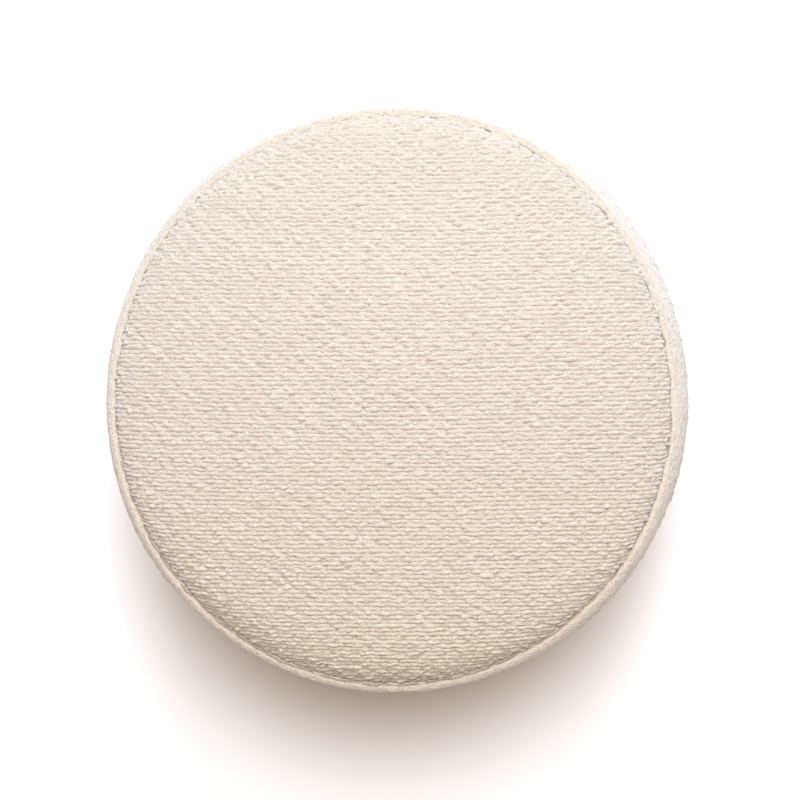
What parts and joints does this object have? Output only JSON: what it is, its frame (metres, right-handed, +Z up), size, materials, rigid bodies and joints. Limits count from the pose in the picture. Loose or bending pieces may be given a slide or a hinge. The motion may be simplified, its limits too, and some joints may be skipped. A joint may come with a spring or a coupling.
{
  "type": "upholstered stool",
  "caption": "Round upholstered stool: a filled drum in cream boucle cloth with a softly crowned top panel, a side band sewn to it with a ridged seam, and a flat base.",
  "frame": {"origin": "on the floor, under the middle of the stool", "axes": "+Z up; +X along the yarn rows of the top panel; +Y across them"},
  "size_m": [0.4491, 0.4476, 0.4],
  "materials": {
    "boucle_top": "cream boucle, ribbed by plump uneven yarn rows, matt",
    "boucle_side": "the same cream boucle, its rows running round the stool, matt",
    "base_cloth": "plain woven cotton, matt"
  },
  "bodies": {
    "root": {"top_panel": "boucle_top", "side_band": "boucle_side", "base_panel": "base_cloth"}
  },
  "joints": []
}
